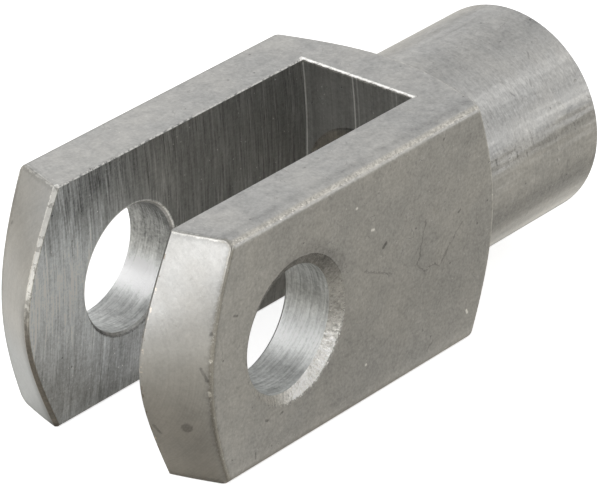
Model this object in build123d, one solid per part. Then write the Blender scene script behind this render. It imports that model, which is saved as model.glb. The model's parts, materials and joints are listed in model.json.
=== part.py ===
from build123d import *
import math
import os

# A rod clevis, which is a fork head cut in one piece from square steel bar.
# The bar's two ends are turned to cones and a round neck, the fork's slot is plunged
# with a disc cutter, the pin bore crosses both ears, and the rod's thread runs through
# the neck into the slot.
# The fork lies on its lower flat side with +Z up. The origin is where the pin's axis
# crosses the middle of the slot. +X runs along the rod towards the threaded neck, and
# +Y runs along the pin.

# Square bar, a little under its nominal 16 mm as it comes from the drawing die
bar_side = 15.9
bar_edge_radius = 0.6

# Ears, measured from the pin's axis
ear_tip_reach = 9.55
ear_cone_angle = 30.0

# How far the edges between the turned cones and the flat sides are eased
turned_edge_radius = 0.12

# Slot for the eye, with its floor as hollow as the disc cutter leaves it
eye_thickness = 8.0
eye_play = 0.35
slot_floor_reach = 17.0
slot_cutter_radius = 45.0
slot_tip_break = 0.22
slot_edge_break = 0.12

# Bore for the pin. Its sinks are shallow, and were cut a little behind and under its axis
pin_diameter = 8.0
pin_play = 0.1
pin_sink_width = 0.64
pin_sink_angle = 140.0
pin_sink_offset = 0.42
pin_sink_drop = 0.18
pin_inner_break = 0.2

# Neck and its shoulder
neck_end_reach = 32.3
neck_length = 11.9
neck_diameter = 13.9
neck_rim_chamfer = 0.08
shoulder_cone_angle = 30.0

# Bore for the rod's thread, at the thread's outer diameter
thread_diameter = 8.0
thread_mouth_chamfer = 0.5

# How far a cutting tool runs past what it cuts
overrun = 1.0

# Values that follow from the sizes above
bar_half = bar_side / 2
bar_corner_reach = bar_half * math.sqrt(2) + overrun
slot_width = eye_thickness + eye_play
slot_half = slot_width / 2
pin_bore_radius = (pin_diameter + pin_play) / 2
neck_radius = neck_diameter / 2
neck_start = neck_end_reach - neck_length
thread_radius = thread_diameter / 2
ear_cone_rise = math.tan(math.radians(ear_cone_angle))
shoulder_cone_rise = math.tan(math.radians(shoulder_cone_angle))


def turned(outline):
    """Turns an outline of (x, radius) points about the rod's axis."""
    section = make_face(Polyline(*outline, close=True))
    return revolve(section, axis=Axis.X)


def ear_cone_x(radius):
    """Where the ears' cone lies along the rod at a radius."""
    return (radius - slot_half) * ear_cone_rise - ear_tip_reach


def shoulder_cone_x(radius):
    """Where the shoulder's cone lies along the rod at a radius."""
    return neck_start - (radius - neck_radius) * shoulder_cone_rise


def bar_stock():
    """The square bar with its rounded long edges."""
    section = Plane.YZ * RectangleRounded(bar_side, bar_side, bar_edge_radius)
    front = ear_cone_x(0) - overrun
    length = neck_end_reach + overrun - front
    return Pos(front, 0, 0) * extrude(section, amount=length, dir=(1, 0, 0))


def turned_ends():
    """What the lathe leaves: a cone over the ears, a cone at the shoulder, and the neck."""
    outline = [
        (ear_cone_x(0), 0),
        (ear_cone_x(bar_corner_reach), bar_corner_reach),
        (shoulder_cone_x(bar_corner_reach), bar_corner_reach),
        (neck_start, neck_radius),
        (neck_end_reach - neck_rim_chamfer, neck_radius),
        (neck_end_reach, neck_radius - neck_rim_chamfer),
        (neck_end_reach, 0),
    ]
    return turned(outline)


def slot_cutter():
    """The disc that plunges along the rod's axis to cut the slot."""
    disc = Cylinder(slot_cutter_radius, slot_width, rotation=(90, 0, 0))
    return Pos(slot_floor_reach - slot_cutter_radius, 0, 0) * disc


def pin_bore():
    """The bore across both ears, eased where it opens into the slot."""
    half_outline = [
        (slot_half, pin_bore_radius + pin_inner_break),
        (slot_half + pin_inner_break, pin_bore_radius),
        (bar_half + overrun, pin_bore_radius),
    ]
    mirrored = [(-along, radius) for along, radius in reversed(half_outline)]
    ends = [(bar_half + overrun, 0), (-bar_half - overrun, 0)]
    return Rot(0, 0, 90) * turned(mirrored + half_outline + ends)


def pin_sinks():
    """The sinks in both outer faces, cut by a pointed tool a little off the bore's axis."""
    sink_rise = math.tan(math.radians(pin_sink_angle / 2))
    sink_radius = pin_bore_radius + pin_sink_width
    outline = [
        (bar_half - sink_radius / sink_rise, 0),
        (bar_half + overrun, sink_radius + overrun * sink_rise),
        (bar_half + overrun, 0),
    ]
    sink = Pos(pin_sink_offset, 0, -pin_sink_drop) * Rot(0, 0, 90) * turned(outline)
    return sink + mirror(sink, about=Plane.XZ)


def thread_bore():
    """The bore from the neck's end to the slot, with a chamfer at its outer mouth."""
    outline = [
        (slot_floor_reach - overrun, 0),
        (slot_floor_reach - overrun, thread_radius),
        (neck_end_reach - thread_mouth_chamfer, thread_radius),
        (neck_end_reach + overrun, thread_radius + thread_mouth_chamfer + overrun),
        (neck_end_reach + overrun, 0),
    ]
    return turned(outline)


def slot_tip_edges(body):
    """The slot's curved edges at the tips of the ears."""
    found = []
    for edge in body.edges():
        middle = edge.center()
        on_wall = abs(abs(middle.Y) - slot_half) < 0.01
        in_flat_face = abs(abs(middle.Z) - bar_half) < 0.01
        ahead_of_pin = middle.X < -pin_bore_radius
        if on_wall and ahead_of_pin and not in_flat_face:
            found.append(edge)
    return found


def cone_edges(body):
    """The curved edges where the cones leave the bar's flat sides and corners."""
    found = []
    for edge in body.edges():
        middle = edge.center()
        is_curved = edge.geom_type not in (GeomType.LINE, GeomType.CIRCLE)
        at_slot_tip = abs(middle.Y) < slot_half + slot_tip_break + 0.1 and abs(middle.Z) < bar_half - 0.05
        if is_curved and not at_slot_tip:
            found.append(edge)
    return found


def slot_mouths():
    """Two flared mouths that break the slot's edges in the upper and lower flat faces."""
    front = ear_cone_x(0) - overrun
    floor = slot_floor_reach - slot_cutter_radius + math.sqrt(slot_cutter_radius**2 - bar_half**2)
    bottom = bar_half - slot_edge_break
    outline = Pos((front + floor) / 2, 0, bottom) * Rectangle(floor - front, slot_width)
    upper = extrude(outline, amount=slot_edge_break + overrun, taper=-45)
    return upper + mirror(upper, about=Plane.XY)


def clevis():
    """The whole clevis, in the order that it is made."""
    body = bar_stock() & turned_ends()
    body = body - slot_cutter()
    body = chamfer(slot_tip_edges(body), slot_tip_break)
    body = fillet(cone_edges(body), turned_edge_radius)
    body = body - slot_mouths()
    body = body - pin_bore() - pin_sinks()
    body = body - thread_bore()
    return body


os.makedirs("parts", exist_ok=True)
export_step(clevis(), "parts/clevis.step")
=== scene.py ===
import json
import math
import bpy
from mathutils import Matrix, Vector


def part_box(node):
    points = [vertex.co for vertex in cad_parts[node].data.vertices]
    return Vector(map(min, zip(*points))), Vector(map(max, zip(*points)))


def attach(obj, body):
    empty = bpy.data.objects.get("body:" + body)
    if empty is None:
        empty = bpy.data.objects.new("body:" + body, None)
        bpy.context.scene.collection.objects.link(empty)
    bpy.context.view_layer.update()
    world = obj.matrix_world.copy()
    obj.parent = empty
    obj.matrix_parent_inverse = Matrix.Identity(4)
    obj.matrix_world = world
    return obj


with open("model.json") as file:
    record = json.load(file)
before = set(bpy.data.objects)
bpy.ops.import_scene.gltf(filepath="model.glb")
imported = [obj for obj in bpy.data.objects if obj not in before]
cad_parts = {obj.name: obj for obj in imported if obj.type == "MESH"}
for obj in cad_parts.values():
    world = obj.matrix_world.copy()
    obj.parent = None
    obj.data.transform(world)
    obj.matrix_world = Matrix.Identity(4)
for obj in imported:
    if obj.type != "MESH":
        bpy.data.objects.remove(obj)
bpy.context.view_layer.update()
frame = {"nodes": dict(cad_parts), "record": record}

from types import SimpleNamespace

import bpy
from mathutils import Matrix, Vector, noise

MM = 0.001
body = frame["nodes"]["clevis"]
low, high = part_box("clevis")
mounts = {mount["name"]: mount for mount in frame["record"]["mounts"]}

# Sizes and places are in millimetres from the frame's origin, except where a comment says metres.
# The frame gives these
bar_half = high.z / MM
neck_end = high.x / MM
pin_radius = mounts["pin_bore"]["dims"]["r_mm"]
thread_radius = mounts["rod_thread"]["dims"]["r_mm"]

# The solid has these, and the frame doesn't state them
slot_half = 4.175
slot_floor = 17.0
slot_cutter_radius = 45.0
ear_tip_reach = 9.55
neck_radius = 6.95
neck_start = 20.4
cone_rise = math.tan(math.radians(30.0))
sink_width = 0.64
sink_offset = 0.42
sink_drop = 0.18
thread_mouth_chamfer = 0.5

# Where the slot's floor meets the upper and lower flat sides
slot_cutter_x = slot_floor - slot_cutter_radius
slot_floor_at_face = slot_cutter_x + math.sqrt(slot_cutter_radius**2 - bar_half**2)

# The thread's ridge, which the solid leaves out
thread_pitch = 1.25
thread_depth = 0.677
thread_crest_width = thread_pitch / 4
thread_root_width = thread_pitch * 7 / 8
thread_overlap = 0.03
thread_slot_gap = 0.01
thread_end_gap = 0.3
thread_steps_a_turn = 72

# The burr on the upper edge of the slot's floor. It is thicker and thinner by turns, with a
# lump at one place, and stays between its least and its most
burr_steps = 150
burr_sides = 7
burr_end_gap = 0.04
burr_behind_edge = 0.045
burr_under_face = 0.08
burr_radius = 0.036
burr_least_radius = 0.008
burr_most_radius = 0.078
burr_unevenness = 0.055
burr_wander = 0.02
burr_lump = 0.03
burr_lump_y = 2.75
burr_lump_half = 0.30

# A band is its middle, half its width and its strength. The first two lists place theirs by the
# angle from the top in degrees, and the others in millimetres
# The neck's bands are painted reflections in bands around it
neck_painted_reflections = [
    (38, 40, 0.66), (-12, 13, -0.10), (-30, 12, 0.08), (-40, 8, 0.18), (-61, 8, 0.22),
    (-69, 6, -0.26), (-75, 5, -0.28), (-104, 13, -0.30), (-118, 7, 0.25), (-127, 8, 0.60),
]
# A painted highlight that brings out the turning rings on one side of the neck
ring_painted_highlight = [(-45, 26, 0.7)]
# Painted light and shade in bands up the ears' front cones
near_cone_painted_light = [(1.2, 2.4, 0.11), (5.2, 1.8, -0.09), (-7.0, 2.5, 0.12)]
far_cone_painted_light = [(4.2, 1.8, 0.09), (0.9, 2.0, -0.08)]
# A painted band of light in the far bore
far_bore_painted_light = [(-2.6, 2.0, 0.22)]
cutter_lines = [
    (0.36, 0.10, 1.3), (0.05, 0.12, 0.5), (-2.92, 0.09, 0.5), (-2.6, 0.12, 0.3), (2.2, 0.6, 0.15),
]

# Single marks on the near side, each a run of (x, z) points
side_hairlines = [
    [(16.7, 0.7), (15.9, -0.1), (15.2, -0.6), (14.5, -1.5), (13.7, -1.1), (12.9, -1.3),
     (12.2, -0.5), (12.6, 1.1), (12.9, 2.2)],
    [(6.9, 1.1), (8.3, 0.5), (9.7, -0.1)],
    [(14.0, -6.4), (13.5, -6.9)],
]
side_gouges = [[(8.72, 2.0), (9.0, 2.18)]]
side_dents = [
    [(-3.2, -7.15), (-3.2, -6.8)],
    [(-5.45, 3.15), (-5.1, 3.02)],
    [(-2.3, -5.0), (-2.1, -5.1)],
    [(-0.9, -5.15), (-0.7, -5.1)],
    [(14.4, 6.95), (14.45, 6.95)],
    [(16.2, 1.45), (16.4, 1.55)],
]
side_sparks = [
    [(7.55, 3.6), (7.75, 3.55)],
    [(6.0, 5.6), (6.05, 5.6)],
    [(17.4, -5.7), (17.5, -5.9)],
    [(7.3, -5.3), (7.35, -5.3)],
]

# Single marks on the ears' cone, each a run of (y, z) points, and a stain on the near ear's
cone_dents = [
    [(-4.6, -3.9), (-4.85, -4.4)],
    [(-7.39, 0.46), (-7.72, -0.3)],
    [(-7.75, 2.66), (-7.77, 2.6)],
    [(7.51, 4.67), (7.52, 4.6)],
]
cone_nicks = [[(-7.86, 1.05), (-7.84, 0.95)], [(-7.8, -1.05), (-7.84, -1.25)]]
cone_stain = (-7.67, -6.41, -3.75)

# Dents on the neck, each a run of (x, way around the neck) points
neck_dents = [
    [(29.26, -3.63), (28.95, -4.0)],
    [(25.6, -5.3), (25.8, -5.6)],
    [(27.76, -5.2), (27.6, -5.6)],
    [(24.0, -8.78), (23.95, -9.09)],
    [(24.93, -9.12), (24.93, -9.34)],
    [(21.91, -8.52), (21.94, -8.86)],
]

# Each softbox: its direction from the part, its side in metres and its brightness. All are at
# one distance from the part, also in metres
softboxes = {
    "back_right_top": ((0.70, 0.55, 0.46), 0.40, 0.40),
    "right_top": ((0.70, 0.05, 0.71), 0.35, 0.39),
    "front_right_top": ((0.70, -0.46, 0.55), 0.35, 0.64),
    "front_right_low": ((0.70, -0.71, 0.12), 0.25, 0.65),
    "front_low": ((0.33, -0.94, 0.05), 0.20, 8.0),
    "left_low": ((-0.97, -0.13, 0.22), 0.30, 2.02),
    "back_left_low": ((-0.40, 0.90, 0.15), 0.30, 0.30),
    "back_left_top": ((-0.50, 0.55, 0.67), 0.45, 1.07),
    "left_top": ((-0.80, 0.05, 0.60), 0.45, 1.18),
}
softbox_distance = 0.7
sky_brightness = 0.54

# Half the floor's side in metres, how far under the part it lies in millimetres, and the light
# that it adds for the camera alone
floor_half = 3.0
floor_gap = 0.02
floor_glow = 0.72


class Signal:
    """A shader value that can be written with plain arithmetic."""

    def __init__(self, graph, socket):
        self.graph = graph
        self.socket = socket

    def __add__(self, other):
        return self.graph.math("ADD", self, other)

    def __radd__(self, other):
        return self.graph.math("ADD", other, self)

    def __sub__(self, other):
        return self.graph.math("SUBTRACT", self, other)

    def __rsub__(self, other):
        return self.graph.math("SUBTRACT", other, self)

    def __mul__(self, other):
        return self.graph.math("MULTIPLY", self, other)

    def __abs__(self):
        return self.graph.math("ABSOLUTE", self)


class Graph:
    """The nodes of one material."""

    def __init__(self, name):
        self.material = bpy.data.materials.new(name)
        self.material.use_nodes = True
        self.tree = self.material.node_tree
        self.tree.nodes.clear()

    def add(self, kind, **settings):
        node = self.tree.nodes.new(kind)
        for key, value in settings.items():
            setattr(node, key, value)
        return node

    def feed(self, socket, value):
        if isinstance(value, Signal):
            self.tree.links.new(value.socket, socket)
        elif isinstance(value, bpy.types.NodeSocket):
            self.tree.links.new(value, socket)
        else:
            socket.default_value = value

    def math(self, operation, *values):
        node = self.add("ShaderNodeMath", operation=operation)
        for socket, value in zip(node.inputs, values):
            self.feed(socket, value)
        return Signal(self, node.outputs[0])

    def most(self, *values):
        found = values[0]
        for value in values[1:]:
            found = self.math("MAXIMUM", found, value)
        return found

    def least(self, *values):
        found = values[0]
        for value in values[1:]:
            found = self.math("MINIMUM", found, value)
        return found

    def length(self, one, other):
        return self.math("SQRT", one * one + other * other)

    def step(self, value, start, end):
        """Goes smoothly from 0 at start to 1 at end, which may be the smaller one."""
        node = self.add("ShaderNodeMapRange", interpolation_type="SMOOTHSTEP")
        self.feed(node.inputs["Value"], value)
        node.inputs["From Min"].default_value = min(start, end)
        node.inputs["From Max"].default_value = max(start, end)
        node.inputs["To Min"].default_value = 0 if start < end else 1
        node.inputs["To Max"].default_value = 1 if start < end else 0
        return Signal(self, node.outputs["Result"])

    def bands(self, value, bands):
        """Soft bands, each with its middle, half its width and its strength."""
        total = 0.0
        for middle, half, strength in bands:
            total = self.step(abs(value - middle), half, 0.0) * strength + total
        return total

    def parts(self, vector):
        node = self.add("ShaderNodeSeparateXYZ")
        self.feed(node.inputs[0], vector)
        return [Signal(self, out) for out in node.outputs]

    def vector(self, x, y, z):
        node = self.add("ShaderNodeCombineXYZ")
        for socket, value in zip(node.inputs, (x, y, z)):
            self.feed(socket, value)
        return node.outputs[0]

    def scaled(self, vector, factor):
        node = self.add("ShaderNodeVectorMath", operation="SCALE")
        self.feed(node.inputs[0], vector)
        self.feed(node.inputs["Scale"], factor)
        return node.outputs[0]

    def away(self, vector, point):
        """How far a place is from a point."""
        node = self.add("ShaderNodeVectorMath", operation="DISTANCE")
        self.feed(node.inputs[0], vector)
        self.feed(node.inputs[1], point)
        return Signal(self, node.outputs["Value"])

    def noise(self, vector, scale, detail, roughness):
        """Noise about 0, from about -0.5 to 0.5."""
        node = self.add("ShaderNodeTexNoise", noise_dimensions="3D")
        self.feed(node.inputs["Vector"], vector)
        node.inputs["Scale"].default_value = scale
        node.inputs["Detail"].default_value = detail
        node.inputs["Roughness"].default_value = roughness
        return Signal(self, node.outputs[0]) - 0.5

    def streaks(self, run, detail, roughness):
        """Noise about 0, drawn out along the coordinates of a run that change slowly."""
        return self.noise(self.vector(*run), 1.0, detail, roughness)

    def spots(self, vector, scale, share, size):
        """Round spots in a share of the cells, 1 inside and 0 outside."""
        node = self.add("ShaderNodeTexVoronoi", feature="F1")
        self.feed(node.inputs["Vector"], vector)
        node.inputs["Scale"].default_value = scale
        split = self.add("ShaderNodeSeparateColor")
        self.feed(split.inputs[0], node.outputs["Color"])
        chosen = self.step(Signal(self, split.outputs[0]), share, share * 0.9)
        return chosen * self.step(Signal(self, node.outputs["Distance"]), size, size * 0.6)

    def hairlines(self, across, up, lines, width):
        """Fine lines through points on a flat side, 1 on a line and 0 beside it."""
        here = self.vector(across, up, 0.0)
        nearest = 100.0
        for line in lines:
            for start, end in zip(line, line[1:]):
                run = Vector((*end, 0.0)) - Vector((*start, 0.0))
                offset = self.add("ShaderNodeVectorMath", operation="SUBTRACT")
                self.feed(offset.inputs[0], here)
                offset.inputs[1].default_value = (*start, 0.0)
                share = self.add("ShaderNodeVectorMath", operation="DOT_PRODUCT")
                self.feed(share.inputs[0], offset.outputs[0])
                share.inputs[1].default_value = run / run.length_squared
                held = self.least(self.most(share.outputs["Value"], 0.0), 1.0)
                distance = self.away(offset.outputs[0], self.scaled(run, held))
                nearest = self.least(nearest, distance)
        return self.step(nearest, width, width * 0.4)

    def mix(self, factor, one, other):
        node = self.add("ShaderNodeMix", data_type="FLOAT")
        self.feed(node.inputs[0], factor)
        self.feed(node.inputs[2], one)
        self.feed(node.inputs[3], other)
        return Signal(self, node.outputs[0])

    def tint(self, factor, one, other):
        node = self.add("ShaderNodeMix", data_type="RGBA", blend_type="MIX")
        self.feed(node.inputs[0], factor)
        self.feed(node.inputs[6], one)
        self.feed(node.inputs[7], other)
        return node.outputs[2]

    def both(self, one, other):
        """Two shaders' light added up."""
        node = self.add("ShaderNodeAddShader")
        self.feed(node.inputs[0], one.outputs[0])
        self.feed(node.inputs[1], other.outputs[0])
        return node

    def surface(self, shader):
        out = self.add("ShaderNodeOutputMaterial")
        self.feed(out.inputs["Surface"], shader.outputs[0])
        return self.material


def rgb(red, green, blue):
    return (red, green, blue, 1.0)


# The steel's colour on each surface and in each kind of wear, some of them painted light and shade,
# and the floor's
colours = SimpleNamespace(
    plain_cool=rgb(0.458, 0.455, 0.443),
    plain_warm=rgb(0.462, 0.454, 0.434),
    bore=rgb(0.66, 0.67, 0.66),
    sink_dull=rgb(0.48, 0.465, 0.43),
    # The sink's colour, and its painted highlight
    sink_painted_highlight=rgb(1.0, 0.99, 0.96),
    sink_rim=rgb(0.42, 0.41, 0.385),
    # The slot's walls in painted shade at the back and painted light at the front
    wall_painted_shade=rgb(0.42, 0.42, 0.41),
    wall_painted_light=rgb(0.80, 0.83, 0.86),
    near_wall=rgb(0.86, 0.87, 0.86),
    slot_end=rgb(0.43, 0.43, 0.42),
    far_cone_low=rgb(0.442, 0.458, 0.466),
    worn_bright=rgb(0.62, 0.61, 0.57),
    worn_dull=rgb(0.46, 0.445, 0.41),
    near_rim_bright=rgb(0.66, 0.65, 0.61),
    near_rim_dull=rgb(0.36, 0.345, 0.31),
    burr=rgb(0.80, 0.79, 0.76),
    mouth_bright=rgb(0.60, 0.595, 0.56),
    mouth_dark=rgb(0.24, 0.24, 0.23),
    corner=rgb(0.52, 0.50, 0.455),
    far_tip=rgb(0.80, 0.79, 0.75),
    far_tip_low=rgb(0.44, 0.41, 0.365),
    far_tip_break=rgb(0.34, 0.33, 0.305),
    near_tip_dark=rgb(0.30, 0.27, 0.235),
    near_tip_bright=rgb(0.72, 0.66, 0.585),
    thread=rgb(0.74, 0.70, 0.63),
    floor_mirrored=rgb(0.76, 0.73, 0.665),
    # The floor's painted shadow, which only the steel mirrors
    floor_mirrored_painted_shadow=rgb(0.57, 0.535, 0.475),
    floor_seen=rgb(0.82, 0.82, 0.82),
)


def place_in_mm(g):
    """The place on the piece in millimetres, and the surface's direction there."""
    coords = g.add("ShaderNodeTexCoord")
    return g.scaled(coords.outputs["Object"], 1 / MM), coords.outputs["Normal"]


def locate(g):
    """Where a point of the steel lies, along and around each tool's axis."""
    at = SimpleNamespace()
    at.place, normal = place_in_mm(g)
    at.x, at.y, at.z = g.parts(at.place)
    at.nx, at.ny, at.nz = g.parts(normal)
    at.far_y = abs(at.y)
    at.far_z = abs(at.z)
    at.rod_r = g.length(at.y, at.z)
    at.pin_r = g.length(at.x, at.z)
    at.sink_r = g.length(at.x - sink_offset, at.z + sink_drop)
    at.rod_angle = g.math("ARCTAN2", at.y, at.z)
    at.pin_angle = g.math("ARCTAN2", at.z, at.x)
    at.arc = at.x - g.math("SQRT", slot_cutter_radius * slot_cutter_radius - at.z * at.z)
    at.behind_ear_cone = at.x - (at.rod_r - slot_half) * cone_rise + ear_tip_reach
    at.before_shoulder = neck_start - (at.rod_r - neck_radius) * cone_rise - at.x
    at.under_flat = bar_half - g.most(at.far_y, at.far_z)
    return at


def skin_marks(g, at):
    """The unevenness that the whole part has."""
    mark = SimpleNamespace()
    mark.rag = g.noise(at.place, scale=4.0, detail=3.0, roughness=0.75)
    mark.grain = g.noise(at.place, scale=5.0, detail=3.0, roughness=0.75)
    mark.skin = g.noise(at.place, scale=1.7, detail=3.0, roughness=0.6)
    mark.mottle = g.noise(at.place, scale=0.33, detail=2.0, roughness=0.5)
    mark.pits = g.spots(at.place, scale=1.1, share=0.20, size=0.10)
    mark.specks = g.spots(at.place, scale=2.6, share=0.26, size=0.13)
    return mark


def find_surfaces(g, at, mark):
    """Which surface a point is on, each 1 there and 0 elsewhere."""
    x, y, far_y = at.x, at.y, at.far_y
    on = SimpleNamespace()
    on.near = g.step(y, 0, -1)
    on.far = g.step(y, 0, 1)

    # The slot's walls and its floor
    on.slot = g.step(far_y, slot_half + 0.1, slot_half + 0.05)
    on.slot = on.slot * g.step(x, slot_floor + 0.1, slot_floor + 0.05)
    on.wall = on.slot * g.step(abs(at.ny), 0.8, 0.9)
    on.slot_end = on.slot * g.step(at.nx, -0.8, -0.9) * g.step(x, slot_half, slot_half + 1)

    # The pin's bore, the sinks at its outer ends and the lip at its inner ends
    sink_radius = pin_radius + sink_width
    on.bore = g.step(at.pin_r, pin_radius + 0.08, pin_radius + 0.04)
    on.bore = on.bore * g.step(far_y, slot_half, slot_half + 0.1) * g.step(abs(at.ny), 0.6, 0.4)
    on.sink = g.step(at.sink_r, sink_radius + 0.04, sink_radius)
    on.sink = on.sink * g.step(far_y, bar_half - 0.5, bar_half - 0.45)
    on.sink = on.sink * g.step(abs(at.ny), 0.6, 0.7)
    on.sink_rim = g.step(at.sink_r, sink_radius - 0.30, sink_radius - 0.05)
    on.lip = g.step(at.pin_r, pin_radius + 0.3, pin_radius + 0.2)
    on.lip = on.lip * g.step(far_y, slot_half + 0.25, slot_half + 0.2) - on.bore * 0.5
    on.lip_rim = g.step(abs(at.pin_r - pin_radius - 0.19), 0.09, 0.04)
    on.lip_rim = on.lip_rim * g.step(far_y, slot_half + 0.2, slot_half + 0.1)

    # What the lathe turned, and the rod's thread
    on.cone = g.step(abs(at.nx), 0.35, 0.45) * g.step(abs(at.nx), 0.97, 0.93)
    on.cone = on.cone * g.step(at.rod_r, slot_half, slot_half + 0.1)
    on.front_cone = on.cone * g.step(x, -4, -5)
    on.neck = g.step(x, neck_start - 0.02, neck_start + 0.02)
    on.neck = on.neck * g.step(at.rod_r, neck_radius - 0.7, neck_radius - 0.5)
    on.turned = g.most(on.cone, on.neck)
    on.thread = g.step(at.rod_r, thread_radius + 0.2, thread_radius + 0.1)
    on.thread = on.thread * g.step(x, slot_floor - 0.2, slot_floor - 0.1)

    # The bar's own sides and corners, and the broken edges of the ears' tips
    on.top = g.step(at.nz, 0.9, 0.97)
    on.near_side = g.step(at.ny, -0.95, -0.985) * g.step(y, -bar_half + 0.1, -bar_half + 0.05)
    on.corner = g.step(g.least(far_y, at.far_z), bar_half - 0.40, bar_half - 0.20)
    on.tip = g.step(abs(far_y - slot_half - 0.12 + mark.rag * 0.25), 0.2, 0.15)
    on.tip = on.tip * g.step(at.behind_ear_cone, 0.35, 0.28) * g.step(x, 0, -1)
    return on


def tool_marks(g, at, on, mark):
    """What the lathe, the slot's cutter, the reamer and the countersink left."""
    x, y, z, skin = at.x, at.y, at.z, mark.skin
    turned = (at.rod_r * (4.0 - on.cone), x * 4.0, 0.0)
    mark.turning = g.streaks(turned, detail=3.0, roughness=0.75)
    mark.lobes = g.streaks((at.rod_angle * 2.6, x * 0.05, 0.0), detail=3.0, roughness=0.6)
    mark.rings = g.streaks((x * 7.0 + skin, at.rod_angle * 9.0, 0.0), detail=2.0, roughness=0.7)
    mark.feed_lines = g.math("SINE", at.rod_r * 41.0 + skin * 1.5) * on.cone * g.step(z, 2, -2)

    # The slot's cutter left arcs on the walls and straight lines on the slot's floor
    mark.swathes = g.streaks((at.arc * 1.8, z * 0.10, y * 0.05), detail=2.0, roughness=0.6)
    arcs = g.streaks((at.arc * 7.0 + skin * 0.7, z * 0.35, y * 0.05), detail=1.5, roughness=0.8)
    mark.milling = arcs * (1.0 + mark.swathes * 2.5)
    mark.plunging = g.streaks((y * 3.0, z * 0.04, 0.0), detail=3.0, roughness=0.85)

    # The reamer left a steep spiral in the bore, and the countersink its spokes
    spiral = y * 6.0 + at.pin_angle * 1.6 + skin * 0.5
    mark.reaming = g.streaks((spiral, at.pin_angle * 1.4, 3.0), detail=1.5, roughness=0.8)
    spokes = at.pin_angle * 38.0 + mark.grain * 4.0
    mark.chatter = g.streaks((spokes, at.pin_r * 2.0, 0.0), detail=2.0, roughness=0.75)


def single_marks(g, at, on, mark):
    """Marks that each have a place of their own."""
    x, y, z = at.x, at.y, at.z
    rag, grain, skin = mark.rag, mark.grain, mark.skin
    cone_y = y + rag * 0.2
    cone_z = z + grain * 0.2
    around_neck = at.rod_angle * neck_radius

    cracks = g.hairlines(x + skin * 0.7, z + grain * 0.5, side_hairlines, width=0.09)
    gouges = g.hairlines(x, z, side_gouges, width=0.16)
    on_side = g.hairlines(x, z, side_dents, width=0.11)
    on_cone = g.hairlines(cone_y, cone_z, cone_dents, width=0.13)
    on_neck = g.hairlines(x + skin * 0.15, around_neck, neck_dents, width=0.09)
    sparks = g.hairlines(x, z, side_sparks, width=0.12)
    nicks = g.hairlines(cone_y, cone_z, cone_nicks, width=0.12)
    mark.cracks = on.near_side * cracks
    mark.dents = on.near_side * gouges + on.near_side * on_side * 0.8
    mark.dents = mark.dents + on.front_cone * on_cone * 0.7 + on.neck * on_neck * 0.6
    mark.sparks = on.near_side * sparks + on.front_cone * nicks * 0.7

    mark.scars = g.step(abs(mark.mottle + skin * 0.12), 0.0045, 0.001)
    mark.scars = mark.scars * g.step(skin, 0.03, 0.07) * (1.0 - on.cone)
    mark.stain = g.step(g.away(at.place, cone_stain) + rag * 0.25, 0.42, 0.26)


def worn_edges(g, at, on, mark):
    """How worn a point is by the edge it is near, and where painted shade lies beside the ears'
    edges and above the sink, each 1 there and 0 away from it.
    """
    x, y, z, rag = at.x, at.y, at.z, mark.rag
    edge = SimpleNamespace()
    ear_edge = g.most(at.behind_ear_cone, at.under_flat)
    shoulder_edge = g.most(at.before_shoulder, at.under_flat)
    end_edge = g.most(abs(x - slot_floor_at_face), bar_half - at.far_z, at.far_y - slot_half)
    nearest = g.least(ear_edge, shoulder_edge, end_edge)
    low_rim = on.cone * g.step(z, 6.5, 4.5)

    edge.worn = g.step(nearest + rag * 0.5 + mark.grain * 0.15 + low_rim * 0.06, 0.15, 0.05)
    # Painted shade beside the ears' edges
    edge.ear_shade = g.step(ear_edge + rag * 0.5, 0.42, 0.16)
    edge.ear_shade = edge.ear_shade * g.step(x, 0, -1) * (1.0 - edge.worn)
    edge.near_rim = g.step(ear_edge + rag * 0.3, 0.22, 0.12)
    edge.near_rim = edge.near_rim * g.step(y, -7.0, -7.4) * g.step(x, -3, -4)
    edge.burr = g.step(end_edge + rag * 0.35, 0.22, 0.14)

    edge.mouth = g.step(at.far_y - slot_half + rag * 0.05, 0.09, 0.05)
    edge.mouth = edge.mouth * g.step(bar_half - at.far_z, 0.15, 0.12)
    edge.mouth = edge.mouth * g.step(x, slot_floor_at_face + 0.2, slot_floor_at_face)
    edge.slot_corner = g.step(g.most(slot_half - at.far_y, slot_cutter_x - at.arc), 0.10, 0.05)
    edge.slot_corner = on.slot * edge.slot_corner * g.step(at.far_z, bar_half - 0.2, bar_half - 0.3)
    # Painted shade on the near side above the sink
    edge.sink_shade = on.near_side * g.step(at.sink_r + rag * 1.2, 6.0, 4.6)
    edge.sink_shade = edge.sink_shade * g.step(z, 0.5, 3.5) * g.step(x, -2.5, 1.0)
    return edge


def relief(g, on, mark):
    """How high the marks stand, in millimetres."""
    grain, skin = mark.grain, mark.skin
    uncut = 1.0 - g.most(on.wall, on.slot_end, on.bore, on.turned * 0.6)
    height = uncut * (grain * 0.019 + skin * 0.012)
    height = height + on.turned * mark.turning * 0.012 + mark.feed_lines * 0.0012
    height = height + on.neck * (mark.lobes * 0.35 + mark.rings * 0.006)
    height = height + on.wall * (mark.milling * 0.045 + grain * 0.03)
    height = height + on.slot_end * mark.plunging * 0.04
    height = height + on.bore * (mark.reaming * 0.035 + grain * 0.02)
    height = height + on.sink * (mark.chatter * 0.15 + grain * 0.06)
    height = height + on.corner * mark.rag * 0.12 - mark.scars * 0.01
    return height + (mark.specks * 0.02 - mark.pits * 0.02) * (1.0 - on.cone * 0.85)


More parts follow.
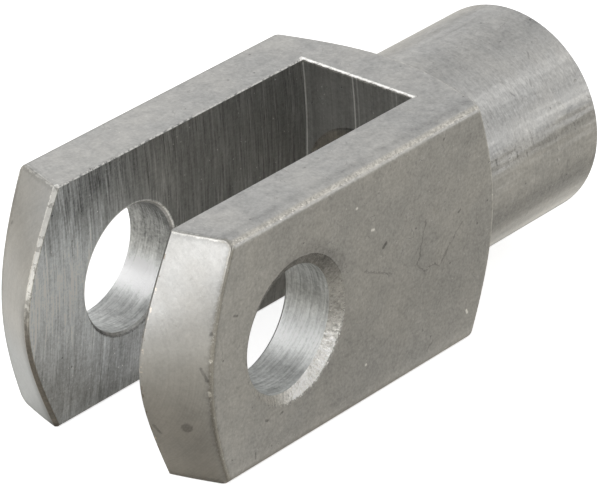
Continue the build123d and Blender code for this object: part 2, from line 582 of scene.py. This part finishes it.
def skin_tone(g, at, on, mark):
    """The uneven plating on the outer sides, with its specks, pits and single marks, and painted
    light and shade on the top and the near side.
    """
    tone = mark.grain * (0.80 - on.top * 0.16) + mark.skin * (on.top * 0.42 + 0.35)
    tone = tone * (1.0 - on.cone * 0.5) + mark.mottle * (on.top * 0.25 + 0.25)
    tone = tone + (mark.specks * 0.35 - mark.pits * 0.35) * (1.0 - on.cone * 0.85)
    tone = tone + mark.sparks * 0.9 - mark.cracks * 0.22 - mark.dents * 0.45
    tone = tone - mark.scars * 0.22 - mark.stain * 0.28
    # Painted light and shade on the top: lighter towards the far side and the front, and darker in
    # a band beside the near corner
    beside_corner = g.step(abs(at.y + bar_half - 0.8), 0.5, 0.0)
    top_painted_light = at.y * 0.008 + g.step(at.x, 14, 0) * 0.08 + 0.01 - beside_corner * 0.16
    # Painted light and shade on the near side: lighter towards the front and along the bottom,
    # darker towards the back
    side_painted_light = g.step(at.x, -3, -6) * 0.07 - g.step(at.x, -5, 2) * 0.07 - 0.05
    side_painted_light = side_painted_light + g.step(at.z, -6.6, -7.3) * 0.16
    return tone + on.top * top_painted_light + on.near_side * side_painted_light


def turned_tone(g, at, on, mark):
    """The cones and the neck, with painted light, shade and reflections on them."""
    y, z = at.y, at.z
    tone = on.turned * (mark.turning * (0.28 - on.cone * 0.08) + mark.lobes * 0.2)
    tone = tone + mark.feed_lines * 0.018
    # Painted reflections in bands around the neck, and a painted highlight that brings out the
    # rings on one side
    degrees = at.rod_angle * math.degrees(1)
    wavy = degrees + mark.skin * math.degrees(0.10)
    rings = mark.rings * (g.bands(degrees, ring_painted_highlight) + 0.15)
    tone = tone + on.neck * (g.bands(wavy, neck_painted_reflections) + rings)
    # Painted shade on the far cone beside the slot, and on the near cone low down
    far_cone_painted_shade = g.step(at.far_y, 5.3, 4.4) * g.step(z, 2.5, 0)
    near_cone_painted_shade = g.step(at.far_y, 5, 7) * g.step(z, 2, 0)
    tone = tone - on.cone * (on.far * far_cone_painted_shade * 0.42 + on.near * near_cone_painted_shade * 0.14)
    # Painted light and shade in bands up the ears' front cones
    tone = tone + on.front_cone * on.near * g.bands(z, near_cone_painted_light)
    return tone + on.front_cone * on.far * g.bands(z, far_cone_painted_light)


def bore_tone(g, at, on, mark):
    """The pin's bore, the sinks at its outer ends and the lip at its inner ends, with painted light
    and shade on each.
    """
    x, z, rag = at.x, at.z, mark.rag
    # Painted light and shade in the bore, set by height and by place along it
    light = g.step(x, 0.8, 3.6) * g.step(z, 3.5, 0.5) * 0.40
    light = light + g.step(z, -0.8, -2.6) * 0.18 - g.step(z, -2.5, -4) * 0.18
    light = light - g.step(z, -2.2, 0.2) * (on.far * 0.34 + 0.46)
    light = light + on.far * g.bands(z, far_bore_painted_light)
    tone = on.bore * (mark.reaming * 1.1 + light)
    # Painted light and shade in the sink: its chatter marks stand out more by height, and it is
    # darker from the middle up, most at the top
    chatter = mark.chatter * (g.step(z, 3.2, 1.5) * 0.8 + g.step(z, 0, -2) * 0.5 + 0.4)
    tone = tone + on.sink * (chatter - g.step(z, 0.5, 3.6) * 0.42 - g.step(z, -2.0, 0.0) * 0.16)
    # Painted light on the lip's rim at the top and painted shade at its bottom
    lip_rim = g.step(z, -1, 2) * (0.9 + rag * 3.0) - g.step(z, -2, -3) * 0.35
    return tone + on.lip * rag * 1.4 + on.lip_rim * lip_rim


def slot_tone(g, at, on, mark):
    """The slot's walls and floor, with painted light and shade on the walls."""
    x, y, z = at.x, at.y, at.z
    tone = mark.milling * (1.4 - g.step(z, -1, -5) * 0.6) + mark.swathes * 0.35
    tone = on.wall * (tone + mark.specks * 0.7)
    # Painted light and shade on the walls, lighter about the middle height and darker at the top
    # and bottom, fading out towards the back
    light = g.step(abs(z - 1), 5, 0) * 0.16
    light = light - g.step(z, 2.5, 7) * (g.step(x, -7, -4) * 0.16 + 0.34)
    light = light - g.step(z, -2, -5) * (g.step(x, -5, 0) * 0.30 + 0.22)
    tone = tone + on.wall * g.step(x, 6, -6) * light
    lines = mark.plunging * 0.9 + g.bands(y + mark.plunging * 0.1, cutter_lines)
    thread_edge = g.step(abs(at.rod_r - thread_radius - 0.08), 0.12, 0.04)
    return tone + on.slot_end * (lines - thread_edge * 0.5)


def edge_tone(on, edge, mark):
    """The worn corners, and painted shade beside the ears' edges and above the sink."""
    tone = on.corner * (mark.rag * 1.7 + 0.22) + edge.slot_corner * 0.9
    return tone - edge.ear_shade * 0.18 - edge.sink_shade * 0.22


def steel_colour(g, at, on, mark, edge):
    """The steel's own colour, with painted light and shade in places, before its tone."""
    x, z, rag, skin = at.x, at.z, mark.rag, mark.skin

    # Each surface's own colour, with a painted highlight in the sink's lower part and painted light
    # and shade on the slot's walls
    warm = g.step(mark.mottle + skin * 0.3, -0.26, 0.24)
    # A painted highlight on the sink's lower part
    painted_shine = g.step(z, -0.4, -2.8) * g.step(x, -1.6, 1.0)
    sink = g.tint(painted_shine, colours.sink_dull, colours.sink_painted_highlight)
    torn_rim = on.sink * g.step(on.sink_rim * g.step(z, 1, -2) + rag * 1.6, 0.72, 0.95)
    # The walls lighter at the front and darker at the back, in painted light and shade
    wall = g.tint(g.step(x + z * 0.4, 6, -5), colours.wall_painted_shade, colours.wall_painted_light)
    far_cone_low = on.front_cone * on.far * g.step(z, 0, -4)
    colour = g.tint(warm, colours.plain_cool, colours.plain_warm)
    colour = g.tint(on.bore, colour, colours.bore)
    colour = g.tint(on.sink, colour, sink)
    colour = g.tint(torn_rim, colour, colours.sink_rim)
    colour = g.tint(on.wall, colour, wall)
    colour = g.tint(on.wall * on.near, colour, colours.near_wall)
    colour = g.tint(on.slot_end, colour, colours.slot_end)
    colour = g.tint(far_cone_low, colour, colours.far_cone_low)

    # The edges, where the plating is rubbed bright or has gone dull
    worn = g.tint(g.step(rag, 0.0, 0.12), colours.worn_bright, colours.worn_dull)
    near_rim = g.tint(g.step(rag, 0.05, 0.14), colours.near_rim_dull, colours.near_rim_bright)
    mouth = g.tint(g.step(rag, -0.04, 0.10), colours.mouth_bright, colours.mouth_dark)
    colour = g.tint(edge.worn * 0.8, colour, worn)
    colour = g.tint(edge.near_rim * 0.8, colour, near_rim)
    colour = g.tint(edge.burr, colour, colours.burr)
    colour = g.tint(edge.mouth * (1.0 - edge.burr), colour, mouth)
    colour = g.tint(on.corner, colour, colours.corner)

    # The broken edges of the ears' tips
    tip_wear = skin + rag * 0.5
    far_tip = on.tip * on.far
    near_tip = on.tip * on.near
    far_breaks = far_tip * g.step(tip_wear + g.step(z, 7, 4) * 0.06, 0.07, 0.12)
    far_low = far_tip * g.step(z + rag * 4.0, 1.2, -1.2)
    near_dark = near_tip * g.step(tip_wear, 0.06, 0.13)
    near_bright = near_tip * g.step(tip_wear, -0.10, -0.16)
    colour = g.tint(far_tip, colour, colours.far_tip)
    colour = g.tint(far_low, colour, colours.far_tip_low)
    colour = g.tint(far_breaks * 0.7, colour, colours.far_tip_break)
    colour = g.tint(near_dark, colour, colours.near_tip_dark)
    colour = g.tint(near_bright, colour, colours.near_tip_bright)
    return g.tint(on.thread, colour, colours.thread)


def lay_of_marks(g, at, on):
    """The direction that each tool's marks spread the light in, which is across them."""
    lean = g.math("SIGN", at.x - slot_half) * -0.5
    tangent = g.add("ShaderNodeVectorMath", operation="ADD")
    turned = g.vector(on.cone * lean + on.neck, on.cone * at.y * 0.11, on.cone * at.z * 0.11)
    g.feed(tangent.inputs[0], turned)
    g.feed(tangent.inputs[1], g.vector(on.wall, on.bore + on.slot_end, 0.0))
    return tangent.outputs[0]


def steel_material():
    """Zinc plated steel with the marks that each tool left on it."""
    g = Graph("plated_steel")
    at = locate(g)
    mark = skin_marks(g, at)
    on = find_surfaces(g, at, mark)
    tool_marks(g, at, on, mark)
    single_marks(g, at, on, mark)
    edge = worn_edges(g, at, on, mark)

    # The tone adds painted light and shade to the plating's own marks
    tone = skin_tone(g, at, on, mark) + turned_tone(g, at, on, mark)
    tone = tone + bore_tone(g, at, on, mark) + slot_tone(g, at, on, mark)
    tone = tone + edge_tone(on, edge, mark)
    colour = g.scaled(steel_colour(g, at, on, mark, edge), g.most(tone + 1.0, 0.22))

    rough = 0.36 + mark.mottle * 0.12 + mark.skin * 0.16
    rough = g.mix(g.most(on.wall, on.bore, on.slot_end), rough, 0.50)
    rough = g.mix(edge.worn, rough, 0.30)
    brushed = g.most(on.wall * 0.95, on.slot_end * 0.9, on.bore * 0.7, on.turned * 0.4)

    bump = g.add("ShaderNodeBump")
    bump.inputs["Strength"].default_value = 1.0
    bump.inputs["Distance"].default_value = MM
    g.feed(bump.inputs["Height"], relief(g, on, mark))

    shader = g.add("ShaderNodeBsdfPrincipled")
    shader.inputs["Metallic"].default_value = 1.0
    g.feed(shader.inputs["Base Color"], colour)
    g.feed(shader.inputs["Roughness"], rough)
    g.feed(shader.inputs["Normal"], bump.outputs[0])
    g.feed(shader.inputs["Anisotropic"], brushed)
    g.feed(shader.inputs["Tangent"], lay_of_marks(g, at, on))
    return g.surface(shader)


def ring_sides(steps, sides):
    """The two points of each side of each ring of a swept form, except those of its last ring."""
    return [
        (ring * sides + side, ring * sides + (side + 1) % sides)
        for ring in range(steps)
        for side in range(sides)
    ]


def add_ridge(name, verts, faces, steel):
    """Adds a ridge that the solid leaves out, and returns its mesh."""
    mesh = bpy.data.meshes.new(name)
    mesh.from_pydata(verts, [], faces)
    mesh.validate()
    mesh.materials.append(steel)
    ridge = bpy.data.objects.new(name, mesh)
    bpy.context.scene.collection.objects.link(ridge)
    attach(ridge, "root")
    return mesh


def thread_ridge(steel):
    """The ridge of the rod's thread, trimmed where it runs out at both mouths."""
    first = slot_floor - 2 * thread_pitch
    turns = (neck_end + thread_pitch - first) / thread_pitch
    root_radius = thread_radius + thread_overlap
    crest_radius = thread_radius - thread_depth
    profile = [
        (-thread_root_width / 2, root_radius),
        (-thread_crest_width / 2, crest_radius),
        (thread_crest_width / 2, crest_radius),
        (thread_root_width / 2, root_radius),
    ]
    verts = []
    steps = int(turns * thread_steps_a_turn)
    for step in range(steps + 1):
        angle = 2 * math.pi * step / thread_steps_a_turn
        for along, radius in profile:
            x = first + thread_pitch * step / thread_steps_a_turn + along
            in_chamfer = thread_radius - (neck_end - thread_mouth_chamfer - x)
            radius = min(max(radius, in_chamfer), root_radius)
            z = radius * math.sin(angle)
            mouth = slot_cutter_x + math.sqrt(slot_cutter_radius**2 - z * z)
            x = min(max(x, mouth + thread_slot_gap), neck_end - thread_end_gap)
            verts.append((x * MM, radius * math.cos(angle) * MM, z * MM))
    sides = len(profile)
    faces = [(a, b, b + sides, a + sides) for a, b in ring_sides(steps, sides)]
    add_ridge("thread_ridge", verts, faces, steel)


def burr_ridge(steel):
    """The ragged burr that the slot's cutter raised on the upper edge of the slot's floor."""
    verts = []
    for step in range(burr_steps + 1):
        y = (step / burr_steps * 2 - 1) * (slot_half - burr_end_gap)
        # Coarse and fine unevenness, each from its own layer of the noise
        rough = noise.noise(Vector((y * 2.1, 0.0, 4.0)))
        rough = rough + noise.noise(Vector((y * 6.0, 0.0, 9.0))) * 0.5
        lump = max(0.0, 1.0 - abs(y - burr_lump_y) / burr_lump_half)
        radius = burr_radius + rough * burr_unevenness + lump * burr_lump
        radius = min(max(radius, burr_least_radius), burr_most_radius)
        x = slot_floor_at_face + burr_behind_edge + rough * burr_wander
        z = bar_half - burr_under_face
        for side in range(burr_sides):
            angle = 2 * math.pi * side / burr_sides
            ring_x = x + radius * math.cos(angle)
            ring_z = z + radius * math.sin(angle)
            verts.append((ring_x * MM, y * MM, ring_z * MM))
    sides = burr_sides
    faces = [(a, a + sides, b + sides, b) for a, b in ring_sides(burr_steps, sides)]
    add_ridge("slot_burr", verts, faces, steel).shade_smooth()


def floor_material():
    """A pale floor, which the camera sees lighter than the steel mirrors it, shadow and all; what
    the steel mirrors also has painted glow and a painted shadow on it.
    """
    g = Graph("pale_floor")
    place, _ = place_in_mm(g)
    x, y, _ = g.parts(place)
    # What the steel mirrors has painted light, glowing behind, beside and between the ears and far
    # to the left, and a painted shadow at the foot of the ears' tips
    behind = g.step(y, 2, 9) * g.step(y, 70, 26)
    behind = g.most(behind, g.step(y, -9, -3) * g.step(y, 20, 10) * g.step(x, 17, 22))
    beside = g.step(y, -7, -8.5) * g.step(y, -14, -10) * g.step(x, -9, -5)
    between = g.step(abs(y + 1.5), 5, 2) * g.step(x, -3, 0) * g.step(x, 14, 10)
    left = g.step(x, -24, -50)
    # Painted shadow on what the steel mirrors, at the foot of the ears' tips
    painted_shadow = g.step(x, 16, 6) * g.step(x, -26, -12) * g.step(y, -11, -7) * (1.0 - behind)

    cream = g.add("ShaderNodeBsdfDiffuse")
    mirrored = g.tint(painted_shadow, colours.floor_mirrored, colours.floor_mirrored_painted_shadow)
    g.feed(cream.inputs["Color"], mirrored)
    painted_glow = g.add("ShaderNodeEmission")
    # The painted glow's strength in each place
    painted_shine = behind * 0.38 + left * 0.25 + beside * 0.14 + between * 0.48
    g.feed(painted_glow.inputs["Strength"], painted_shine)

    white = g.add("ShaderNodeBsdfDiffuse")
    white.inputs["Color"].default_value = colours.floor_seen
    glow = g.add("ShaderNodeEmission")
    glow.inputs["Strength"].default_value = floor_glow

    choice = g.add("ShaderNodeMixShader")
    g.feed(choice.inputs[0], g.add("ShaderNodeLightPath").outputs["Is Camera Ray"])
    g.feed(choice.inputs[1], g.both(cream, painted_glow).outputs[0])
    g.feed(choice.inputs[2], g.both(white, glow).outputs[0])
    return g.surface(choice)


def floor():
    """A plain floor under the part."""
    level = low.z - floor_gap * MM
    corners = [(-1, -1), (1, -1), (1, 1), (-1, 1)]
    verts = [(a * floor_half, b * floor_half, level) for a, b in corners]
    mesh = bpy.data.meshes.new("floor")
    mesh.from_pydata(verts, [], [(0, 1, 2, 3)])
    obj = bpy.data.objects.new("floor", mesh)
    bpy.context.scene.collection.objects.link(obj)
    mesh.materials.append(floor_material())


def lights():
    """Softboxes around the part, under a plain white sky."""
    for name, (direction, side, brightness) in softboxes.items():
        data = bpy.data.lights.new(name, "AREA")
        data.shape = "SQUARE"
        data.size = side
        data.energy = brightness * math.pi * side * side
        obj = bpy.data.objects.new(name, data)
        away = Vector(direction).normalized()
        obj.location = away * softbox_distance
        obj.rotation_euler = away.to_track_quat("Z", "Y").to_euler()
        bpy.context.scene.collection.objects.link(obj)
    world = bpy.data.worlds.new("studio")
    bpy.context.scene.world = world
    world.use_nodes = True
    sky = world.node_tree.nodes["Background"]
    sky.inputs["Color"].default_value = rgb(1.0, 1.0, 1.0)
    sky.inputs["Strength"].default_value = sky_brightness


def camera():
    """A long lens at the photograph's viewing angle."""
    azimuth = math.radians(-52.530)
    elevation = math.radians(27.081)
    roll = math.radians(1.209)
    distance = 318.80 * MM
    target = Vector((10.994, 0.0, -1.152)) * MM
    back = Vector((
        math.sin(azimuth) * math.cos(elevation),
        -math.cos(azimuth) * math.cos(elevation),
        math.sin(elevation),
    ))
    side = Vector((0, 0, 1)).cross(back).normalized()
    up = back.cross(side)
    right = side * math.cos(roll) + up * math.sin(roll)
    top = up * math.cos(roll) - side * math.sin(roll)
    turn = Matrix((right, top, back)).transposed().to_4x4()
    data = bpy.data.cameras.new("camera")
    data.sensor_width = 36.0
    data.lens = 316.44
    data.clip_start = 0.01
    data.clip_end = 20.0
    obj = bpy.data.objects.new("camera", data)
    obj.matrix_world = Matrix.Translation(target + back * distance) @ turn
    bpy.context.scene.collection.objects.link(obj)
    bpy.context.scene.camera = obj


steel = steel_material()
body.data.materials.clear()
body.data.materials.append(steel)
thread_ridge(steel)
burr_ridge(steel)
floor()
lights()
camera()
bpy.context.scene.view_settings.view_transform = "Standard"
